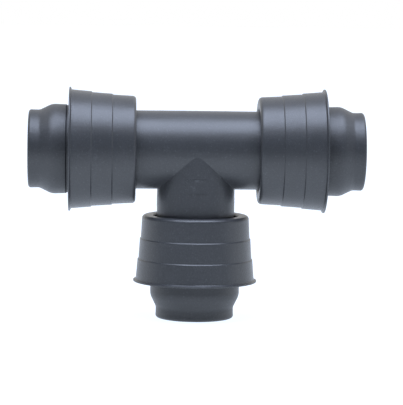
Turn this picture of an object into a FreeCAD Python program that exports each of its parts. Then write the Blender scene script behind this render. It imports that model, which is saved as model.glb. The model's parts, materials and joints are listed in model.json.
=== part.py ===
"""Push-fit tee for 20 mm plastic water pipe, in millimetres.

Two run ports (left, -X and right, +X) and one branch port (down, -Z) carry the same push-fit
cartridge. The tee stands on the mouth of the branch port, and the frame's origin is the centre
of that mouth.

Each port is drawn once in an arm frame and then turned onto its arm. In the arm frame +Z runs
outwards along the pipe, and the mouth is at ARM. The run ports' frames start where the axes
cross, the branch port's a little below that. A profile point is (z, r): its distance along the
arm and its distance from the axis.
"""

import FreeCAD, Part

import math
import os

from FreeCAD import Placement, Rotation, Vector

# ---- driving dimensions, mm -------------------------------------------------------------
ARM = 54.5                # crossing of the axes to the mouth of each run port
BRANCH_EXTRA = 0.35       # the branch arm is this much longer
SOCKET_R = 10.2           # bore that guides the 20 mm pipe, 0.2 mm clear all round
WATERWAY_R = 9.2          # bore through the middle, smaller so that it stops the pipe
RUN_R = 12.75             # outside of the straight tube
BRANCH_R = 12.65          # outside of the branch tube
PIPE_STOP_Z = 17.0        # shoulder that the pipe's end meets

EDGE_R = 0.3              # rounding of most moulded edges
FINE_EDGE_R = 0.2         # and of the small ones
PLAY = 0.05               # between pieces that slide or clip on each other
OVERCUT = 1.0             # how far a cutting block runs past what it cuts

# hub: the thick end of each arm, hidden by the collar
HUB_R = 13.6
HUB_START_Z = 23.3
HUB_END_Z = 30.0
HUB_CHAMFER = 1.0
SEAL_POCKET_Z = 26.2
SEAL_POCKET_R = 12.3
WASHER_THICK = 1.0
WASHER_SEAT_R = 12.6
RING_GROOVE_Z = 24.5
RING_GROOVE_WIDTH = 1.0
RING_GROOVE_FLOOR_R = 12.8               # deep enough to take the whole ring while the nose goes on
KEY_COUNT = 3             # keys inside the nose, in notches in the hub, that stop it turning
KEY_WIDTH = 2.4
KEY_DEPTH = 0.4
KEY_PLAY = 0.1
KEY_ROOT = 0.2            # how far a key is sunk in the nose
KEY_START_Z = 27.2
KEY_ANGLE = 30.0

# nose: the end cap with the swollen shoulder and the pipe mouth
SKIRT_START_Z = 23.0
SKIRT_R = 15.0
SKIRT_BORE_R = HUB_R + PLAY
NOSE_GROOVE_R = SKIRT_BORE_R + 0.5       # half of the lock ring is in this groove
SKIRT_END_Z = 38.0
SLOT_END_Z = 37.0         # slots for the collar's prongs, open at the skirt's inner end
SLOT_PLAY = 0.2
NOSE_NECK_R = 14.15       # under the collar's lip
NOSE_NECK_START_Z = 39.2
NOSE_NECK_END_Z = 42.0    # where the neck steps up to the swollen part
NOSE_SHOULDER = 0.3       # length and height of that step, before the swelling goes on
NOSE_BULGE_R = 14.6       # widest, just before it narrows
NOSE_BULGE_Z = 46.1
NOSE_WAIST_R = 12.66
NOSE_WAIST_Z = 51.7
NOSE_RIM_Z = 52.3         # where the rim round the mouth starts
NOSE_MOUTH_R = 12.76
NOSE_RIM_ROUND = 0.9
NOSE_TAPER_DEG = 26.0     # steepest slope of the narrowing
BULGE_BLEND_R = 5.0
WAIST_BLEND_R = 2.0
MOUTH_CHAMFER = 0.7
CHAMBER_R = 12.3          # inside, where the collet slides
CONE_START_Z = 46.0       # locking cone inside the narrowing
CONE_END_Z = 50.6
CONE_END_R = 10.9
CONE_BLEND_R = 1.0

# collar: the stepped sleeve that slides on the nose
COLLAR_LENGTH = 21.7
COLLAR_STEP_ZS = (7.62, 14.36)           # from the collar's inner end
BAND_RADII = ((17.4, 17.78), (18.08, 18.5), (18.8, 19.33))
STEP_SLOPE = 0.3          # length of the slope that joins two bands
STEP_EDGE_R = 0.1
LIP_R = 20.17
LIP_WIDTH = 0.78          # at its root
LIP_FLANK = 0.32          # how far its inner flank leans outwards
LIP_EDGE_R = 0.12
LIP_DEPTH = 0.9           # of its outer face, inwards from the rim
LIP_WALL = 1.0            # thickness of the sleeve at the lip's root
COLLAR_CORNER_R = 1.2
COLLAR_HOLE_R = 13.8
COLLAR_HOLE_EDGE_R = 0.7
COLLAR_WALL = 1.8
COLLAR_BORE_R = 15.15
COLLAR_RECESS_Z = 16.3    # floor of the recess inside the flared end
COLLAR_RECESS_R = 17.35
PRONG_COUNT = 3           # prongs that reach in through the nose's slots and carry the collet
PRONG_WIDTH = 5.0
PRONG_TIP_R = 11.45
PRONG_Z = 14.25           # prong's inner face, from the collar's inner end
PRONG_THICK = 1.4
PRONG_ROOT = 0.5          # how far a prong is sunk in the sleeve
COLLAR_OUT = {"left": 1.45, "right": 1.0, "branch": 0.3}   # travel left to the outer stop

# collet: slotted ring with wedge-headed fingers, clipped behind the collar's prongs
COLLET_BORE_R = 10.35
COLLET_RING_R = 12.2
COLLET_RING_THICK = 1.45
CLIP_R = 11.85            # bead on the fingers that snaps past the prongs
CLIP_EDGE_R = 0.1
CLIP_WIDTH = 0.4
CLIP_RAMP = 0.8
FINGER_R = 11.3
FINGER_COUNT = 8
FINGER_GAP = 1.6
HEAD_START_Z = 46.2       # wedge heads, at the outer stop
HEAD_END_Z = 50.2
HEAD_RAMP = 0.7
TOOTH_TIP_R = 10.0
TOOTH_ROOT_R = 11.15
TOOTH_THICK = 0.5
TOOTH_SPARE = 0.5         # trimmed off each end
TOOTH_WIDTH = 4.2
TOOTH_LEAN_DEG = 20.0
TOOTH_Z = 47.7            # at the outer stop

LOCK_RING_R = 14.0
LOCK_RING_DEPTH = 0.7
LOCK_RING_SPLIT = 3.0
ORING_CORD_R = 1.14
ORING_CENTRE_R = 11.15
ORING_GAP = 0.15          # to the pocket's floor
WASHER_BORE_R = 10.25
WASHER_PLAY = 0.02
PAD_SIZE = (7.4, 4.4)     # blank raised pad on the front of the branch tube
PAD_CORNER_R = 1.1
PAD_HEIGHT = 0.15
PAD_DROP = 11.0           # below the crossing of the axes

OUTER_STOP_Z = SKIRT_START_Z - PLAY - COLLAR_WALL    # collar's inner end there
CROSS_Z = ARM + BRANCH_EXTRA             # height of the run's axis above the branch mouth
EPS = 0.01
TOUCHING = 1e-6

PORT_FRAMES = {
    "left": Placement(Vector(0, 0, CROSS_Z), Rotation(Vector(0, 1, 0), -90)),
    "right": Placement(Vector(0, 0, CROSS_Z), Rotation(Vector(0, 1, 0), 90)),
    "branch": Placement(Vector(0, 0, ARM), Rotation(Vector(1, 0, 0), 180)),
}


# ---- helpers ----------------------------------------------------------------------------
def rounded_wire(corners):
    """Closed wire in the XZ plane through (z, r) or (z, r, fillet radius) corners."""
    points = [Vector(c[1], 0, c[0]) for c in corners]
    radii = [c[2] if len(c) > 2 else 0.0 for c in corners]
    starts, ends, arcs = [], [], []
    for i, corner in enumerate(points):
        before = (points[i - 1] - corner).normalize()
        after = (points[(i + 1) % len(points)] - corner).normalize()
        if radii[i] == 0.0:
            starts.append(corner)
            ends.append(corner)
            arcs.append(None)
            continue
        half = before.getAngle(after) / 2
        reach = radii[i] / math.tan(half)
        middle = (before + after).normalize() * (radii[i] / math.sin(half) - radii[i])
        starts.append(corner + before * reach)
        ends.append(corner + after * reach)
        arcs.append(Part.Arc(starts[i], corner + middle, ends[i]).toShape())
    edges = []
    for i in range(len(points)):
        if arcs[i] is not None:
            edges.append(arcs[i])
        nxt = (i + 1) % len(points)
        if ends[i].distanceToPoint(starts[nxt]) > TOUCHING:
            edges.append(Part.LineSegment(ends[i], starts[nxt]).toShape())
    return Part.Wire(edges)


def turned(corners):
    """Solid of revolution about the arm's axis from a closed (z, r) profile."""
    face = Part.Face(rounded_wire(corners))
    return face.revolve(Vector(0, 0, 0), Vector(0, 0, 1), 360)


def tube(z0, z1, inner_r, outer_r):
    return turned([(z0, inner_r), (z1, inner_r), (z1, outer_r), (z0, outer_r)])


def radial_block(z0, z1, r0, r1, width, angle):
    """Block that points away from the axis at an angle, in degrees."""
    block = Part.makeBox(r1 - r0, width, z1 - z0, Vector(r0, -width / 2, z0))
    block.rotate(Vector(0, 0, 0), Vector(0, 0, 1), angle)
    return block


def ring_of_blocks(count, z0, z1, r0, r1, width, first=90.0):
    angles = [first + 360.0 * i / count for i in range(count)]
    return [radial_block(z0, z1, r0, r1, width, a) for a in angles]


def placed(shape, port):
    """The arm frame's shape on its port, with the tee standing on its branch mouth."""
    moved = shape.copy()
    moved.Placement = PORT_FRAMES[port].multiply(moved.Placement)
    return moved


def one_solid(shape):
    solids = shape.removeSplitter().Solids
    if len(solids) != 1:
        raise ValueError("expected one solid and got %d" % len(solids))
    return solids[0]


def export(name, shape):
    if not shape.isValid():
        raise ValueError(name + " is not a valid shape")
    shape.exportStep("parts/%s.step" % name)
    print("%-22s %d solid(s) %9.1f mm3" % (name, len(shape.Solids), shape.Volume))


# ---- the tee body -----------------------------------------------------------------------
def crossed_tubes():
    """The run and branch tubes, which meet in a sharp crease."""
    run = Part.makeCylinder(RUN_R, 2 * HUB_START_Z, Vector(-HUB_START_Z, 0, CROSS_Z),
                            Vector(1, 0, 0))
    branch = Part.makeCylinder(BRANCH_R, HUB_START_Z + BRANCH_EXTRA, Vector(0, 0, CROSS_Z),
                               Vector(0, 0, -1))
    return one_solid(run.fuse(branch))


def hub():
    """Thick end of an arm, with the groove for the lock ring and the notches for the nose's keys."""
    groove_end = RING_GROOVE_Z + RING_GROOVE_WIDTH
    chamfer_z = HUB_START_Z - HUB_CHAMFER
    solid = turned([
        (chamfer_z, WATERWAY_R), (HUB_END_Z, WATERWAY_R), (HUB_END_Z, HUB_R, EDGE_R),
        (groove_end, HUB_R), (groove_end, RING_GROOVE_FLOOR_R),
        (RING_GROOVE_Z, RING_GROOVE_FLOOR_R), (RING_GROOVE_Z, HUB_R),
        (HUB_START_Z, HUB_R, EDGE_R), (chamfer_z, BRANCH_R - EPS),
    ])
    notches = ring_of_blocks(KEY_COUNT, KEY_START_Z - KEY_PLAY, HUB_END_Z + OVERCUT,
                             HUB_R - KEY_DEPTH - KEY_PLAY, HUB_R + OVERCUT, KEY_WIDTH + KEY_PLAY,
                             KEY_ANGLE)
    return solid.cut(notches)


def arm_bore():
    """What is cut out of an arm: waterway, pipe socket, seal pocket and washer seat."""
    washer_z = HUB_END_Z - WASHER_THICK
    return turned([
        (0, 0), (HUB_END_Z + OVERCUT, 0), (HUB_END_Z + OVERCUT, WASHER_SEAT_R),
        (washer_z, WASHER_SEAT_R), (washer_z, SEAL_POCKET_R),
        (SEAL_POCKET_Z, SEAL_POCKET_R, FINE_EDGE_R), (SEAL_POCKET_Z, SOCKET_R, EDGE_R),
        (PIPE_STOP_Z, SOCKET_R), (PIPE_STOP_Z, WATERWAY_R, FINE_EDGE_R), (0, WATERWAY_R),
    ])


def blank_pad():
    """Thin raised pad on the front of the branch tube, a rounded oblong with nothing on it."""
    width, height = PAD_SIZE
    depth = BRANCH_R + PAD_HEIGHT
    z0 = CROSS_Z - PAD_DROP - height / 2
    block = Part.makeBox(width, depth, height, Vector(-width / 2, -depth, z0))
    upright = [e for e in block.Edges if abs(e.Vertexes[0].Y - e.Vertexes[1].Y) > EPS]
    block = block.makeFillet(PAD_CORNER_R, upright)
    shell = Part.makeCylinder(depth, height, Vector(0, 0, z0))
    return block.common(shell)


def tee_body():
    outer = crossed_tubes().fuse([placed(hub(), port) for port in PORT_FRAMES] + [blank_pad()])
    return one_solid(outer.cut([placed(arm_bore(), port) for port in PORT_FRAMES]))


# ---- the push-fit cartridge, in the arm frame -------------------------------------------
def nose():
    """End cap: skirt over the hub, chamber and locking cone inside, pipe mouth at the end."""
    groove_end = RING_GROOVE_Z + RING_GROOVE_WIDTH
    fall = NOSE_BULGE_R - NOSE_WAIST_R
    run = fall / math.tan(math.radians(NOSE_TAPER_DEG))
    middle = (NOSE_BULGE_Z + NOSE_WAIST_Z) / 2
    cap = turned([
        (SKIRT_START_Z, SKIRT_BORE_R, FINE_EDGE_R), (RING_GROOVE_Z, SKIRT_BORE_R),
        (RING_GROOVE_Z, NOSE_GROOVE_R), (groove_end, NOSE_GROOVE_R), (groove_end, SKIRT_BORE_R),
        (HUB_END_Z, SKIRT_BORE_R), (HUB_END_Z, CHAMBER_R), (CONE_START_Z, CHAMBER_R, CONE_BLEND_R),
        (CONE_END_Z, CONE_END_R), (CONE_END_Z + EDGE_R, SOCKET_R), (ARM - MOUTH_CHAMFER, SOCKET_R),
        (ARM, SOCKET_R + MOUTH_CHAMFER), (ARM, NOSE_MOUTH_R, NOSE_RIM_ROUND),
        (NOSE_RIM_Z, NOSE_WAIST_R, WAIST_BLEND_R), (middle + run / 2, NOSE_WAIST_R, WAIST_BLEND_R),
        (middle - run / 2, NOSE_BULGE_R, BULGE_BLEND_R),
        (NOSE_NECK_END_Z + NOSE_SHOULDER, NOSE_NECK_R + NOSE_SHOULDER, EDGE_R),
        (NOSE_NECK_END_Z, NOSE_NECK_R), (NOSE_NECK_START_Z, NOSE_NECK_R, EDGE_R),
        (SKIRT_END_Z, SKIRT_R, EDGE_R), (SKIRT_START_Z, SKIRT_R, EDGE_R),
    ])
    keys = ring_of_blocks(KEY_COUNT, KEY_START_Z, HUB_END_Z + KEY_ROOT, HUB_R - KEY_DEPTH,
                          SKIRT_BORE_R + KEY_ROOT, KEY_WIDTH, KEY_ANGLE)
    slots = ring_of_blocks(PRONG_COUNT, SKIRT_START_Z - OVERCUT, SLOT_END_Z, CHAMBER_R - OVERCUT,
                           SKIRT_R + OVERCUT, PRONG_WIDTH + SLOT_PLAY)
    return one_solid(cap.fuse(keys).cut(slots))


def collar():
    """Stepped sleeve with a rolled inner end, three bands that widen outwards and a thin lip."""
    length = COLLAR_LENGTH
    step_1, step_2 = COLLAR_STEP_ZS
    (a0, a1), (b0, b1), (c0, c1) = BAND_RADII
    lip_root = length - LIP_WIDTH
    half = STEP_SLOPE / 2
    sleeve = turned([
        (0, COLLAR_HOLE_R, COLLAR_HOLE_EDGE_R), (COLLAR_WALL, COLLAR_HOLE_R),
        (COLLAR_WALL, COLLAR_BORE_R, EDGE_R), (COLLAR_RECESS_Z, COLLAR_BORE_R, EDGE_R),
        (COLLAR_RECESS_Z, COLLAR_RECESS_R, 2 * EDGE_R), (lip_root, c1 - LIP_WALL, EDGE_R),
        (length, LIP_R - LIP_DEPTH, FINE_EDGE_R), (length, LIP_R, LIP_EDGE_R),
        (lip_root + LIP_FLANK, LIP_R, LIP_EDGE_R), (lip_root, c1, EDGE_R),
        (step_2 + half, c0, STEP_EDGE_R), (step_2 - half, b1),
        (step_1 + half, b0, STEP_EDGE_R), (step_1 - half, a1), (0, a0, COLLAR_CORNER_R),
    ])
    prong_end, root_r = PRONG_Z + PRONG_THICK, COLLAR_BORE_R + PRONG_ROOT
    blocks = ring_of_blocks(PRONG_COUNT, PRONG_Z, prong_end, PRONG_TIP_R - OVERCUT, root_r, PRONG_WIDTH)
    reach = tube(PRONG_Z, prong_end, PRONG_TIP_R, root_r)
    return one_solid(sleeve.fuse([block.common(reach) for block in blocks]))


def wedge_radius(z):
    """Radius of the wedge heads at the outer stop, parallel to the cone in the nose."""
    slope = (CHAMBER_R - CONE_END_R) / (CONE_END_Z - CONE_START_Z)
    return CHAMBER_R - 2 * PLAY - slope * (z - CONE_START_Z)


def tooth_blocks():
    """Steel teeth at the outer stop, one a finger, leaning inwards along the arm."""
    teeth = []
    strip = TOOTH_ROOT_R - TOOTH_TIP_R + 2 * TOOTH_SPARE
    for i in range(FINGER_COUNT):
        tooth = Part.makeBox(strip, TOOTH_WIDTH, TOOTH_THICK,
                             Vector(TOOTH_TIP_R - TOOTH_SPARE, -TOOTH_WIDTH / 2, TOOTH_Z))
        tooth.rotate(Vector(TOOTH_TIP_R, 0, TOOTH_Z), Vector(0, 1, 0), TOOTH_LEAN_DEG)
        tooth.rotate(Vector(0, 0, 0), Vector(0, 0, 1), 360.0 * (i + 0.5) / FINGER_COUNT)
        teeth.append(tooth)
    band = tube(TOOTH_Z - strip, TOOTH_Z + strip, TOOTH_TIP_R, TOOTH_ROOT_R)
    return [t.common(band) for t in teeth]


def collet_and_teeth():
    """Collet and its steel teeth at the outer stop."""
    prong_z = OUTER_STOP_Z + PRONG_Z
    clip_z = prong_z + PRONG_THICK + PLAY
    ring_end_z = prong_z - PLAY
    ring_z = ring_end_z - COLLET_RING_THICK
    body = turned([
        (ring_z, COLLET_BORE_R, EDGE_R), (HEAD_END_Z, COLLET_BORE_R, FINE_EDGE_R),
        (HEAD_END_Z, wedge_radius(HEAD_END_Z), CLIP_EDGE_R),
        (HEAD_START_Z, wedge_radius(HEAD_START_Z), EDGE_R), (HEAD_START_Z - HEAD_RAMP, FINGER_R, EDGE_R),
        (clip_z + CLIP_WIDTH + CLIP_RAMP, FINGER_R, EDGE_R), (clip_z + CLIP_WIDTH, CLIP_R, CLIP_EDGE_R),
        (clip_z, CLIP_R), (clip_z, FINGER_R), (ring_end_z, FINGER_R), (ring_end_z, COLLET_RING_R),
        (ring_z, COLLET_RING_R, FINE_EDGE_R),
    ])
    gaps = ring_of_blocks(FINGER_COUNT, ring_end_z + FINE_EDGE_R, HEAD_END_Z + OVERCUT,
                          COLLET_BORE_R - OVERCUT, CHAMBER_R + OVERCUT, FINGER_GAP, 0.0)
    teeth = tooth_blocks()
    return one_solid(body.cut(gaps).cut(teeth)), Part.makeCompound(teeth)


def o_ring():
    centre_z = SEAL_POCKET_Z + ORING_CORD_R + ORING_GAP
    return Part.makeTorus(ORING_CENTRE_R, ORING_CORD_R, Vector(0, 0, centre_z), Vector(0, 0, 1))


def seal_washer():
    z0, z1 = HUB_END_Z - WASHER_THICK + WASHER_PLAY, HUB_END_Z - WASHER_PLAY
    outer_r = WASHER_SEAT_R - PLAY
    return turned([(z0, WASHER_BORE_R, FINE_EDGE_R), (z1, WASHER_BORE_R, FINE_EDGE_R), (z1, outer_r),
                   (z0, outer_r)])


def lock_ring():
    """Split ring that sits half in the hub's groove and half in the nose's."""
    z0, z1 = RING_GROOVE_Z + PLAY, RING_GROOVE_Z + RING_GROOVE_WIDTH - PLAY
    ring = tube(z0, z1, LOCK_RING_R - LOCK_RING_DEPTH, LOCK_RING_R)
    split = radial_block(z0 - OVERCUT, z1 + OVERCUT, RING_GROOVE_FLOOR_R, LOCK_RING_R + OVERCUT,
                         LOCK_RING_SPLIT, 0.0)
    return one_solid(ring.cut(split))


def main():
    os.makedirs("parts", exist_ok=True)
    export("tee_body", tee_body())
    cap, sleeve = nose(), collar()
    collet, teeth = collet_and_teeth()
    fixed = {"nose": cap, "o_ring": o_ring(), "seal_washer": seal_washer(), "lock_ring": lock_ring()}
    for port in PORT_FRAMES:
        for name, shape in fixed.items():
            export("%s_%s" % (port, name), placed(shape, port))
        inwards = Vector(0, 0, -COLLAR_OUT[port])
        to_collar = Vector(0, 0, OUTER_STOP_Z) + inwards
        export(port + "_collar", placed(sleeve.translated(to_collar), port))
        export(port + "_collet", placed(collet.translated(inwards), port))
        export(port + "_grip_teeth", placed(teeth.translated(inwards), port))


main()
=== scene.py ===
"""Push-fit tee: materials, mould marks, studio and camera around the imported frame."""

import json
import math
import random

import bpy
from mathutils import Matrix, Vector
from mathutils.bvhtree import BVHTree


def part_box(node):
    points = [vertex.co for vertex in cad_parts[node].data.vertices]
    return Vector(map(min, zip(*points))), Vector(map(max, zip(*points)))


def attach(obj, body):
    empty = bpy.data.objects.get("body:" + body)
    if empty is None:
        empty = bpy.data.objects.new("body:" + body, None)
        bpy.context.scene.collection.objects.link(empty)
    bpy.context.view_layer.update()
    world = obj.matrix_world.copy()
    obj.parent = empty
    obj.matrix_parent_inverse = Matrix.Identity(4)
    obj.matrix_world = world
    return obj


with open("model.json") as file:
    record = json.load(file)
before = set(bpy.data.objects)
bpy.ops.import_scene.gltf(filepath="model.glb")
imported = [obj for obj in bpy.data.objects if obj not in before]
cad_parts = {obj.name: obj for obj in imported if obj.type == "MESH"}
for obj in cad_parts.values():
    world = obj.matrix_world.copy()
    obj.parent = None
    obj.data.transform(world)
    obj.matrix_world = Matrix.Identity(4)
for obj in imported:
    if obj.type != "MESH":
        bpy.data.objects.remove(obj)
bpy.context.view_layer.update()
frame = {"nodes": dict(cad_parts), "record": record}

MM = 0.001

# the three pipe axes cross at this point
AXES_CROSS = sum(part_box("right_nose"), Vector()) / 2
AXES_CROSS.x = 0.0


# ---- node trees -------------------------------------------------------------------------
class Graph:
    """A material's node tree, with short calls for the nodes that the materials share."""

    def __init__(self, name):
        self.material = bpy.data.materials.new(name)
        self.material.use_nodes = True
        self.nodes = self.material.node_tree.nodes
        self.links = self.material.node_tree.links
        self.surface = self.nodes["Principled BSDF"]
        self.place = self.nodes.new("ShaderNodeTexCoord").outputs["Object"]

    def set(self, **values):
        for name, value in values.items():
            self.surface.inputs[name.replace("_", " ")].default_value = value

    def join(self, output, target):
        self.links.new(output, target)

    def stretched(self, scale):
        node = self.nodes.new("ShaderNodeMapping")
        node.inputs["Scale"].default_value = scale
        self.join(self.place, node.inputs["Vector"])
        return node.outputs["Vector"]

    def noise(self, size, detail=2.0, roughness=0.5, place=None):
        """Noise whose features are about size metres across."""
        node = self.nodes.new("ShaderNodeTexNoise")
        node.inputs["Scale"].default_value = 1.0 / size
        node.inputs["Detail"].default_value = detail
        node.inputs["Roughness"].default_value = roughness
        self.join(place or self.place, node.inputs["Vector"])
        return node.outputs["Fac"]

    def ramp(self, value, low, high, to_low=0.0, to_high=1.0):
        node = self.nodes.new("ShaderNodeMapRange")
        for name, number in (("From Min", low), ("From Max", high), ("To Min", to_low),
                             ("To Max", to_high)):
            node.inputs[name].default_value = number
        self.join(value, node.inputs["Value"])
        return node.outputs["Result"]

    def maths(self, operation, a, b=0.0):
        node = self.nodes.new("ShaderNodeMath")
        node.operation = operation
        for socket, value in zip(node.inputs, (a, b)):
            if isinstance(value, (int, float)):
                socket.default_value = value
            else:
                self.join(value, socket)
        return node.outputs["Value"]

    def mix(self, factor, a, b):
        node = self.nodes.new("ShaderNodeMix")
        node.data_type = "RGBA"
        self.join(factor, node.inputs["Factor"])
        for socket, colour in ((node.inputs["A"], a), (node.inputs["B"], b)):
            if isinstance(colour, tuple):
                socket.default_value = (*colour, 1.0)
            else:
                self.join(colour, socket)
        return node.outputs["Result"]

    def worn_edges(self, low, high):
        """1 on convex edges and 0 on flats."""
        node = self.nodes.new("ShaderNodeNewGeometry")
        return self.ramp(node.outputs["Pointiness"], low, high)

    def part_of_place(self, axis):
        node = self.nodes.new("ShaderNodeSeparateXYZ")
        self.join(self.place, node.inputs["Vector"])
        return node.outputs[axis]

    def bump(self, height, distance, strength=1.0, under=None):
        node = self.nodes.new("ShaderNodeBump")
        node.inputs["Strength"].default_value = strength
        node.inputs["Distance"].default_value = distance
        self.join(height, node.inputs["Height"])
        if under is not None:
            self.join(under, node.inputs["Normal"])
        return node.outputs["Normal"]

    def colour(self, output):
        self.join(output, self.surface.inputs["Base Color"])

    def rough(self, output):
        self.join(output, self.surface.inputs["Roughness"])

    def normal(self, output):
        self.join(output, self.surface.inputs["Normal"])


def tinted(colour, factor, lift=0.0):
    return tuple(factor * c + lift for c in colour)


# ---- the tee's materials ----------------------------------------------------------------
ONE_NOISE = (0.3, 0.7)               # nearly all values of a noise lie between these
NOISE_MIDDLE = (0.35, 0.65)
TWO_NOISES = (0.75, 1.25)            # the middle values of two noises added up

GRAIN = 0.40 * MM                    # size of the grains of the mould's spark-eroded skin
GRAIN_RELIEF, COLLAR_GRAIN_RELIEF = 0.055 * MM, 0.08 * MM
DIMPLE_RELIEF = 0.04 * MM            # of the long shallow waves where the plastic shrank
GRAIN_SHADES = (0.35, 0.60)          # noise values, from the dark spots to the full colour
SPECKS = (0.64, 0.74)                # noise values at which the light specks come up
SPECK_STRENGTH = 0.6
SCUFFS = (0.58, 0.72)                # noise values at which an edge is rubbed
CONVEX_EDGES = (0.515, 0.56)         # pointiness, from flat to sharp
UNEVEN_GLOSS = 0.03                  # either side of the roughness
CLOUD_SHADE, SPOT_SHADE = 0.86, 0.80     # dark clouds and spots, times the colour
WORN_SHADE, WORN_LIFT = 1.5, 0.01        # specks and rubbed edges: times the colour, plus

SLATE = (0.048, 0.0505, 0.0545)
ACETAL_WHITE = (0.62, 0.61, 0.56)
ACETAL_RING = (0.58, 0.57, 0.52)
WASHER_GREY = (0.42, 0.43, 0.42)
RUBBER_BLACK, RUBBER_DUST = (0.012, 0.012, 0.013), (0.035, 0.034, 0.033)
DUST = (0.55, 0.75)                  # noise values at which dust lies on the rubber
STEEL_DARK, STEEL_LIGHT = (0.46, 0.46, 0.45), (0.66, 0.65, 0.63)


def moulded_plastic(name, colour, roughness, relief):
    """Satin moulded plastic: grain, faint flow clouds, scuffs, specks and rubbed edges."""
    g = Graph(name)
    clouds = g.noise(14 * MM, detail=3.0, roughness=0.55)
    flow = g.noise(4 * MM, detail=4.0, roughness=0.6, place=g.stretched((1.0, 1.0, 0.35)))
    cloudy = g.ramp(g.maths("ADD", clouds, flow), *TWO_NOISES)
    mottled = g.mix(cloudy, tinted(colour, CLOUD_SHADE), colour)
    grains = g.noise(1.3 * GRAIN, detail=2.0)
    shaded = g.mix(g.ramp(grains, *GRAIN_SHADES), tinted(colour, SPOT_SHADE), mottled)
    scuffs = g.ramp(g.noise(3.5 * MM, detail=5.0, roughness=0.7), *SCUFFS)
    rubbed = g.maths("MULTIPLY", g.worn_edges(*CONVEX_EDGES), scuffs)
    specks = g.ramp(grains, *SPECKS, to_high=SPECK_STRENGTH)
    worn = tinted(colour, WORN_SHADE, WORN_LIFT)
    g.colour(g.mix(g.maths("MAXIMUM", rubbed, specks), shaded, worn))
    glossy, dull = roughness - UNEVEN_GLOSS, roughness + UNEVEN_GLOSS
    broad = g.ramp(clouds, *ONE_NOISE, to_low=glossy, to_high=dull)
    fine = g.ramp(g.noise(0.7 * MM), *ONE_NOISE, to_low=-UNEVEN_GLOSS, to_high=UNEVEN_GLOSS)
    g.rough(g.maths("ADD", broad, fine))
    skin = g.bump(g.noise(GRAIN, detail=3.0, roughness=0.65), relief, strength=0.7)
    g.normal(g.bump(g.noise(6 * MM), DIMPLE_RELIEF, strength=0.25, under=skin))
    g.set(IOR=1.5)
    return g.material


def acetal(name, colour):
    """Smooth, waxy, slightly translucent plastic of the collets, washers and lock rings."""
    g = Graph(name)
    clouds = g.noise(3 * MM, detail=3.0)
    g.colour(g.mix(g.ramp(clouds, *NOISE_MIDDLE), tinted(colour, 0.9), colour))
    g.rough(g.ramp(g.noise(0.6 * MM, detail=3.0), *ONE_NOISE, to_low=0.28, to_high=0.40))
    g.normal(g.bump(g.noise(0.3 * MM), 0.006 * MM, strength=0.5))
    g.set(Subsurface_Weight=0.15, Subsurface_Scale=1 * MM, IOR=1.48)
    return g.material


def seal_rubber(name):
    """Black nitrile: matt, with a moulding skin and a little dust."""
    g = Graph(name)
    dust = g.ramp(g.noise(1.2 * MM, detail=5.0, roughness=0.7), *DUST)
    g.colour(g.mix(dust, RUBBER_BLACK, RUBBER_DUST))
    g.rough(g.ramp(g.noise(2 * MM, detail=3.0), *ONE_NOISE, to_low=0.38, to_high=0.58))
    g.normal(g.bump(g.noise(0.25 * MM, detail=3.0), 0.012 * MM, strength=0.6))
    return g.material


def tooth_steel(name):
    """Stamped stainless strip with a drawn grain."""
    g = Graph(name)
    drawn = g.noise(0.4 * MM, detail=3.0, roughness=0.6, place=g.stretched((1.0, 1.0, 6.0)))
    g.colour(g.mix(g.ramp(drawn, *ONE_NOISE), STEEL_DARK, STEEL_LIGHT))
    g.rough(g.ramp(drawn, *ONE_NOISE, to_low=0.22, to_high=0.38))
    g.normal(g.bump(drawn, 0.004 * MM, strength=0.5))
    g.set(Metallic=1.0)
    return g.material


MATERIALS = {
    "body_plastic": moulded_plastic("body_plastic", SLATE, 0.36, GRAIN_RELIEF),
    # noses: the body's slate made darker, partly their own tone and partly painted shade for the
    # shade the glowing table does not leave round them
    "nose_plastic": moulded_plastic("nose_plastic", tinted(SLATE, 0.86), 0.42, GRAIN_RELIEF),
    "collar_plastic": moulded_plastic("collar_plastic", tinted(SLATE, 0.98), 0.34,
                                      COLLAR_GRAIN_RELIEF),
    "collet_plastic": acetal("collet_plastic", ACETAL_WHITE),
    "ring_plastic": acetal("ring_plastic", ACETAL_RING),
    "washer_plastic": acetal("washer_plastic", WASHER_GREY),
    "seal_rubber": seal_rubber("seal_rubber"),
    "tooth_steel": tooth_steel("tooth_steel"),
}


def paint_cad_nodes():
    for entry in frame["record"]["subparts"]:
        node = frame["nodes"][entry["node"]]
        node.data.materials.clear()
        node.data.materials.append(MATERIALS[entry["material_slot"]])


# ---- what the mould leaves behind -------------------------------------------------------
RUN_R, BRANCH_R = 12.7 * MM, 12.6 * MM           # close to the tubes' own; a ray finds the skin
CLEAR_OF_BRANCH = 14.4 * MM                      # from the crossing to the lines under the run
CLEAR_OF_RUN = 1.6 * MM                          # from the run to the lines beside the branch
LINE_END = 19.0 * MM                             # just short of collars that are pushed in
ABOVE_SKIN, BEHIND_TEE = 5 * MM, 100 * MM        # where the rays start

WITNESS_STEP, WITNESS_LEAST_STEPS = 0.5 * MM, 8
WITNESS_WIDTH, WITNESS_HEIGHT, SUNK = 0.26 * MM, 0.05 * MM, 0.01 * MM
WITNESS_FADE = 4.0                               # it fades over a quarter at each end
WIDTH_CHANGE, HEIGHT_CHANGE = (0.8, 1.2), (0.75, 1.25)
WITNESS_SECTION = ((-1.0, -0.6), (-0.45, 0.8), (0.0, 1.0), (0.45, 0.8), (1.0, -0.6))

GATE_SIDES, GATE_TORN_R, GATE_TEAR = 24, 0.5 * MM, (0.7, 1.3)
GATE_PROFILE = ((1.5 * MM, -0.15 * MM), (1.35 * MM, 0.12 * MM), (0.8 * MM, 0.14 * MM),
                (0.55 * MM, 0.04 * MM), (0.4 * MM, 0.16 * MM), (0.15 * MM, 0.2 * MM))


def surface_of(node):
    mesh = frame["nodes"][node].data
    return BVHTree.FromPolygons([v.co for v in mesh.vertices], [p.vertices for p in mesh.polygons])


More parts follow.
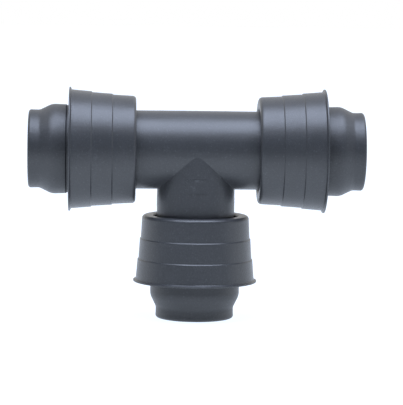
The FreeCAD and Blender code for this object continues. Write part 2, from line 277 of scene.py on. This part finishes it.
def moulding(name, points, faces, smooth):
    """A piece of the tee body's own plastic, added to its surface."""
    mesh = bpy.data.meshes.new(name)
    mesh.from_pydata(points, [], faces)
    for face in mesh.polygons:
        face.use_smooth = smooth
    mesh.materials.append(MATERIALS["body_plastic"])
    obj = bpy.data.objects.new(name, mesh)
    bpy.context.scene.collection.objects.link(obj)
    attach(obj, "tee")


def witness_line(name, skin, start, end, outwards):
    """Low ridge where the two halves of the mould met, laid along the skin from start to end."""
    rng = random.Random(name)
    steps = max(WITNESS_LEAST_STEPS, int((end - start).length / WITNESS_STEP))
    points = []
    for i in range(steps + 1):
        above = start.lerp(end, i / steps) + outwards * ABOVE_SKIN
        foot = skin.ray_cast(above, -outwards)[0]
        fade = min(1.0, WITNESS_FADE * i / steps, WITNESS_FADE * (steps - i) / steps)
        half = WITNESS_WIDTH / 2 * rng.uniform(*WIDTH_CHANGE)
        height = WITNESS_HEIGHT * fade * rng.uniform(*HEIGHT_CHANGE)
        for across, rise in WITNESS_SECTION:
            sideways = Vector((0.0, across * half, 0.0))
            points.append(foot + sideways + outwards * (rise * height - SUNK))
    count = len(WITNESS_SECTION)
    faces = []
    for i in range(steps):
        here, there = count * i, count * (i + 1)
        for j in range(count):
            k = (j + 1) % count
            faces.append((here + j, here + k, there + k, there + j))
    faces.append(tuple(range(count - 1, -1, -1)))
    faces.append(tuple(range(count * steps, count * (steps + 1))))
    moulding(name, points, faces, True)


def gate_scar(skin):
    """Where the plastic was let in, at the back of the crossing: a low disc, torn in the middle."""
    rng = random.Random("gate")
    backwards = Vector((0.0, 1.0, 0.0))
    foot = skin.ray_cast(AXES_CROSS + backwards * BEHIND_TEE, -backwards)[0]
    points, faces = [], []
    for radius, rise in GATE_PROFILE:
        for i in range(GATE_SIDES):
            angle = 2 * math.pi * i / GATE_SIDES
            torn = rng.uniform(*GATE_TEAR) if radius < GATE_TORN_R else 1.0
            offset = Vector((radius * math.cos(angle), rise * torn, radius * math.sin(angle)))
            points.append(foot + offset)
    for ring in range(len(GATE_PROFILE) - 1):
        base, above = ring * GATE_SIDES, (ring + 1) * GATE_SIDES
        for i in range(GATE_SIDES):
            j = (i + 1) % GATE_SIDES
            faces.append((base + i, above + i, above + j, base + j))
    faces.append(tuple(range(GATE_SIDES)))
    faces.append(tuple(reversed(range(len(points) - GATE_SIDES, len(points)))))
    moulding("gate_scar", points, faces, False)


def mould_marks():
    """Witness lines in the plane of the three axes, and the scar of the gate."""
    skin = surface_of("tee_body")
    up, down = Vector((0.0, 0.0, 1.0)), Vector((0.0, 0.0, -1.0))
    over, under = AXES_CROSS.z + RUN_R, AXES_CROSS.z - RUN_R
    lowest = AXES_CROSS.z - LINE_END
    witness_line("witness_top", skin, Vector((-LINE_END, 0, over)), Vector((LINE_END, 0, over)), up)
    for side, way in (("left", -1), ("right", 1)):
        near, far = Vector((way * CLEAR_OF_BRANCH, 0, under)), Vector((way * LINE_END, 0, under))
        witness_line("witness_under_" + side, skin, near, far, down)
        near = Vector((way * BRANCH_R, 0, under - CLEAR_OF_RUN))
        far = Vector((way * BRANCH_R, 0, lowest))
        witness_line("witness_branch_" + side, skin, near, far, Vector((way, 0, 0)))
    gate_scar(skin)


# ---- studio -----------------------------------------------------------------------------
TABLE_HALF, TABLE_DROP = 6.0, 0.2 * MM                      # half its width, gap under the tee
TABLE_DARK, TABLE_LIGHT = (0.10, 0.10, 0.10), (0.12, 0.12, 0.12)
TABLE_TINT = (0.90, 1.0, 1.16, 1.0)
# the table glows evenly, and brighter in a painted pool of light in front of the tee that lights
# the tee's lower front
TABLE_GLOW, PAINTED_POOL_GLOW = 1.03, 1.4
PAINTED_POOL_IN_FRONT, PAINTED_POOL_EDGE = 80 * MM, (25 * MM, 65 * MM)      # from the tee, from the pool's middle

CLOTH_BLACK = (0.03, 0.03, 0.032, 1.0)
CLOTH_SPAN, CLOTH_TURN, CLOTH_PANELS = 164.0, -7.0, 24      # degrees, degrees, count
SCREEN_SECTION = ((1.3, 0.0), (1.3, 1.2))                   # distance from the branch, height
# the sheet on the table, a painted dark reflection: distance from the branch, height
PAINTED_REFLECTION_SECTION = ((0.42, 0.0), (1.3, 0.0))

SOFTBOX_AT, SOFTBOX_SIZE = (0.05, -0.17, 0.90), (1.25, 0.64)
SOFTBOX_RADIANCE, SOFTBOX_TINT = 5.7, (0.87, 0.99, 1.27)

HORIZON, OVERHEAD = 1.0, 0.66                               # strengths of the surroundings
HORIZON_ENDS, OVERHEAD_STARTS = 0.08, 0.9                   # Z of the direction looked in


def staged(name, points, faces):
    mesh = bpy.data.meshes.new(name)
    mesh.from_pydata(points, [], faces)
    obj = bpy.data.objects.new(name, mesh)
    bpy.context.scene.collection.objects.link(obj)
    return obj


def floor():
    """White light table that runs back out of sight; its glow is brighter in a painted pool of
    light in front of the tee.
    """
    signs = ((-1, -1), (1, -1), (1, 1), (-1, 1))
    corners = [(x * TABLE_HALF, y * TABLE_HALF, -TABLE_DROP) for x, y in signs]
    table = staged("floor", corners, [(0, 1, 2, 3)])
    g = Graph("floor_white_painted_pool")
    g.colour(g.mix(g.ramp(g.noise(0.2, detail=3.0), *ONE_NOISE), TABLE_DARK, TABLE_LIGHT))
    g.rough(g.ramp(g.noise(0.05), *ONE_NOISE, to_low=0.75, to_high=0.85))
    g.set(Emission_Color=TABLE_TINT, Specular_IOR_Level=0.1)
    # painted pool of light: the glow rises towards a patch in front of the tee
    from_middle = g.maths("ABSOLUTE", g.maths("ADD", g.part_of_place("Y"), PAINTED_POOL_IN_FRONT))
    glow_and_painted_pool = g.ramp(from_middle, *PAINTED_POOL_EDGE, to_low=PAINTED_POOL_GLOW, to_high=TABLE_GLOW)
    g.join(glow_and_painted_pool, g.surface.inputs["Emission Strength"])
    table.data.materials.append(g.material)


def black_cloth(name, section):
    """Black cloth round the front of the tee, out of the camera's sight."""
    points, faces = [], []
    for i in range(CLOTH_PANELS + 1):
        angle = math.radians(CLOTH_SPAN * (i / CLOTH_PANELS - 0.5) + CLOTH_TURN)
        for r, z in section:
            points.append((r * math.sin(angle), -r * math.cos(angle), z))
    for i in range(CLOTH_PANELS):
        faces.append((2 * i, 2 * i + 2, 2 * i + 3, 2 * i + 1))
    cloth = staged(name, points, faces)
    g = Graph(name + "_black")
    g.set(Base_Color=CLOTH_BLACK, Roughness=0.9, Specular_IOR_Level=0.1)
    cloth.data.materials.append(g.material)
    cloth.visible_camera = False
    return cloth


def black_screen_and_painted_reflection():
    """A screen that stands at the edge, and a black sheet on the table that only reflections show:
    a painted dark reflection in the tee's front, which casts no shade.
    """
    black_cloth("dark_screen", SCREEN_SECTION)
    painted_reflection = black_cloth("painted_dark_reflection", PAINTED_REFLECTION_SECTION)
    # the sheet neither shades nor lights anything: it is only a painted dark reflection
    painted_reflection.visible_diffuse = False
    painted_reflection.visible_shadow = False


def softbox():
    light = bpy.data.lights.new("softbox", "AREA")
    light.shape = "RECTANGLE"
    light.size, light.size_y = SOFTBOX_SIZE
    light.energy = SOFTBOX_RADIANCE * math.pi * light.size * light.size_y
    light.color = SOFTBOX_TINT
    obj = bpy.data.objects.new("softbox", light)
    bpy.context.scene.collection.objects.link(obj)
    obj.location = SOFTBOX_AT
    aim = AXES_CROSS - obj.location
    obj.rotation_euler = aim.to_track_quat("-Z", "Y").to_euler()
    obj.visible_camera = False


def surroundings():
    """White at the horizon, dimmer overhead."""
    world = bpy.data.worlds.new("studio")
    world.use_nodes = True
    tree = world.node_tree
    background = tree.nodes["Background"]
    background.inputs["Color"].default_value = (1.0, 1.0, 1.0, 1.0)
    direction = tree.nodes.new("ShaderNodeTexCoord").outputs["Generated"]
    split = tree.nodes.new("ShaderNodeSeparateXYZ")
    fall = tree.nodes.new("ShaderNodeMapRange")
    for name, number in (("From Min", HORIZON_ENDS), ("From Max", OVERHEAD_STARTS),
                         ("To Min", HORIZON), ("To Max", OVERHEAD)):
        fall.inputs[name].default_value = number
    tree.links.new(direction, split.inputs["Vector"])
    tree.links.new(split.outputs["Z"], fall.inputs["Value"])
    tree.links.new(fall.outputs["Result"], background.inputs["Strength"])
    bpy.context.scene.world = world
    bpy.context.scene.view_settings.view_transform = "Standard"


# ---- camera -----------------------------------------------------------------------------
YAW, PITCH, ROLL = 2.16, 5.32, 0.76      # degrees: to the left of square-on, downwards, clockwise
DISTANCE = 0.739                         # to the crossing of the axes
LENS_PER_HEIGHT = 5.602                  # focal length over the picture's height
CROSS_AT = (-0.0128, 0.1294)             # the crossing's place in the picture, from its middle
SENSOR = 36.0
CLIP_START, CLIP_END = 0.01, 50.0


def camera():
    data = bpy.data.cameras.new("camera")
    data.sensor_width = SENSOR
    data.lens = LENS_PER_HEIGHT * SENSOR
    data.clip_start, data.clip_end = CLIP_START, CLIP_END
    cam = bpy.data.objects.new("camera", data)
    bpy.context.scene.collection.objects.link(cam)
    a, b, c = (math.radians(v) for v in (YAW, PITCH, ROLL))
    ahead = Vector((math.sin(a) * math.cos(b), math.cos(a) * math.cos(b), -math.sin(b)))
    level = Vector((math.cos(a), -math.sin(a), 0.0))
    upright = level.cross(ahead)
    right = level * math.cos(c) + upright * math.sin(c)
    up = upright * math.cos(c) - level * math.sin(c)
    side, rise = (v * DISTANCE / LENS_PER_HEIGHT for v in CROSS_AT)
    place = AXES_CROSS - ahead * DISTANCE - right * side - up * rise
    turn = Matrix((right, up, -ahead)).transposed().to_4x4()
    cam.matrix_world = Matrix.Translation(place) @ turn
    bpy.context.scene.camera = cam


paint_cad_nodes()
mould_marks()
floor()
black_screen_and_painted_reflection()
softbox()
surroundings()
camera()
